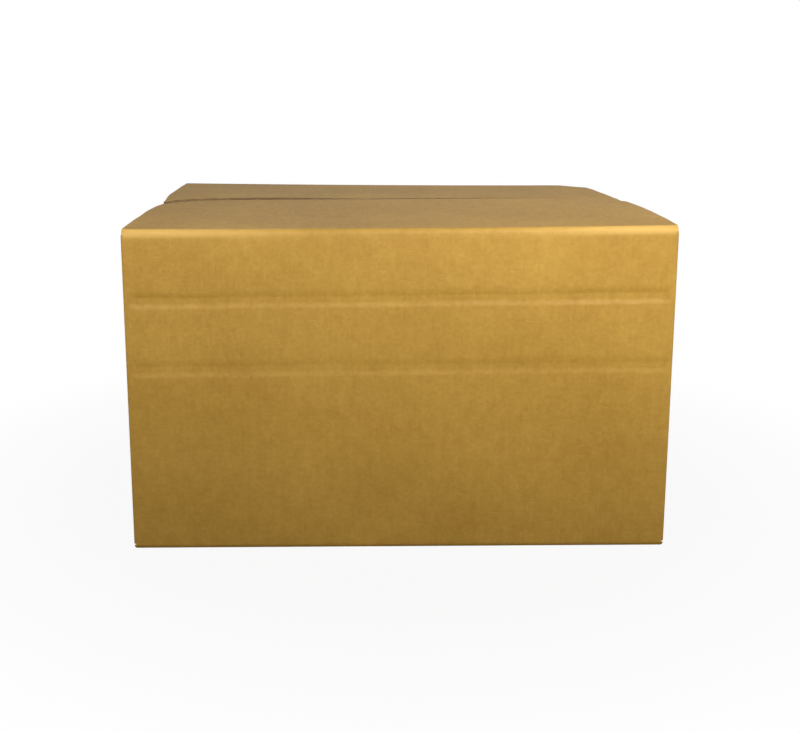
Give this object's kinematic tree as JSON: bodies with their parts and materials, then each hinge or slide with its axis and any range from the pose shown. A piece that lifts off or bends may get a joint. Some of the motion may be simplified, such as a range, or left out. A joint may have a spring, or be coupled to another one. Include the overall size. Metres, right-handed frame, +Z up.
{
  "type": "cardboard box",
  "caption": "Closed brown corrugated cardboard shipping box with folding top flaps and score lines round its walls.",
  "frame": {"origin": "middle of the underside, on the surface it stands on", "axes": "+X along the long walls to the picture's right, +Y to the back wall, +Z up"},
  "size_m": [0.6222, 0.521, 0.386],
  "materials": {
    "board": "plain brown kraft board, matt",
    "tape": "clear packing tape over kraft board"
  },
  "bodies": {
    "carton": {"carton_body": "board", "bottom_tape": "tape"},
    "front_flap": {"top_front_flap": "board"},
    "back_flap": {"top_back_flap": "board"}
  },
  "joints": [
    {"name": "front_flap_fold", "type": "hinge", "parent": "carton", "child": "front_flap", "pos_m": [0, -0.2605, 0.38], "axis": [1, 0, 0], "range_deg": [0, 255]},
    {"name": "back_flap_fold", "type": "hinge", "parent": "carton", "child": "back_flap", "pos_m": [0, 0.2605, 0.38], "axis": [-1, 0, 0], "range_deg": [0, 255]}
  ]
}
